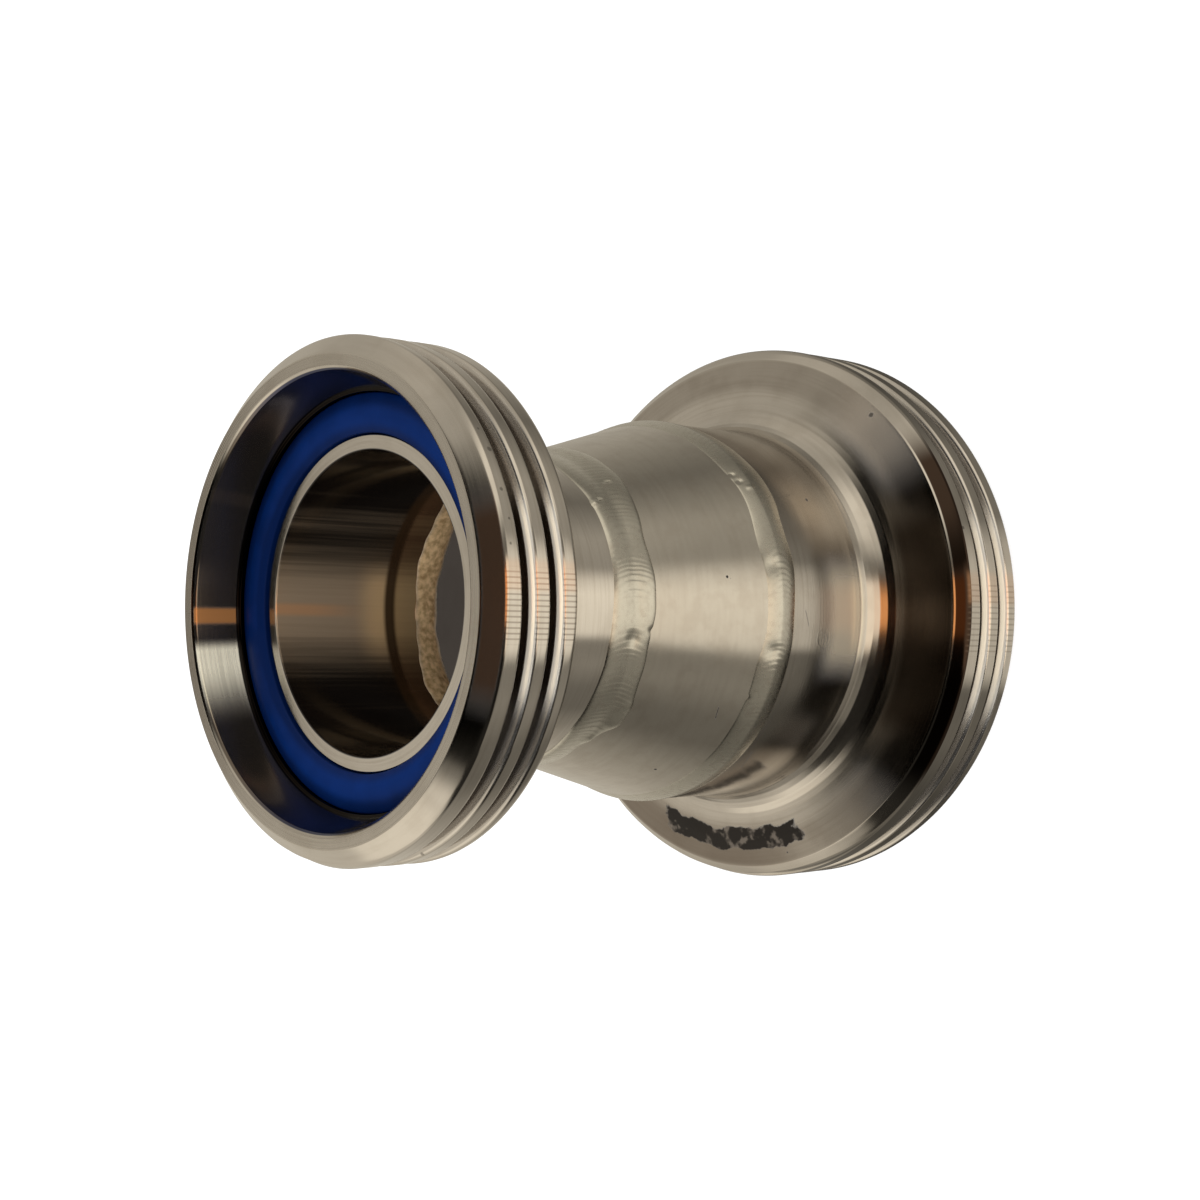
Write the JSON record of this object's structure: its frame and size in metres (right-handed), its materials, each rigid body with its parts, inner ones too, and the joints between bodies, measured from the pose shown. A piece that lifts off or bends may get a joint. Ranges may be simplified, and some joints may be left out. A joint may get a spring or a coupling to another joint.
{
  "type": "reducing male dairy coupling",
  "caption": "Welded stainless reducing adapter with a round-threaded male end on each side, liner seats and rubber joint rings.",
  "frame": {"origin": "centre of the large end face, which the part stands on", "axes": "+Z along the flow axis, from the large end to the small end"},
  "size_m": [0.078, 0.078, 0.091],
  "materials": {
    "turned_steel": "turned stainless steel with fine lathe lines",
    "pressed_steel": "brushed stainless steel",
    "weld_metal": "unground weld bead with ripples",
    "seal_rubber": "satin blue rubber"
  },
  "bodies": {
    "root": {"large_male_part": "turned_steel", "large_seal_ring": "seal_rubber", "large_weld": "weld_metal", "reducer": "pressed_steel", "small_weld": "weld_metal", "small_male_part": "turned_steel", "small_seal_ring": "seal_rubber"}
  },
  "joints": []
}
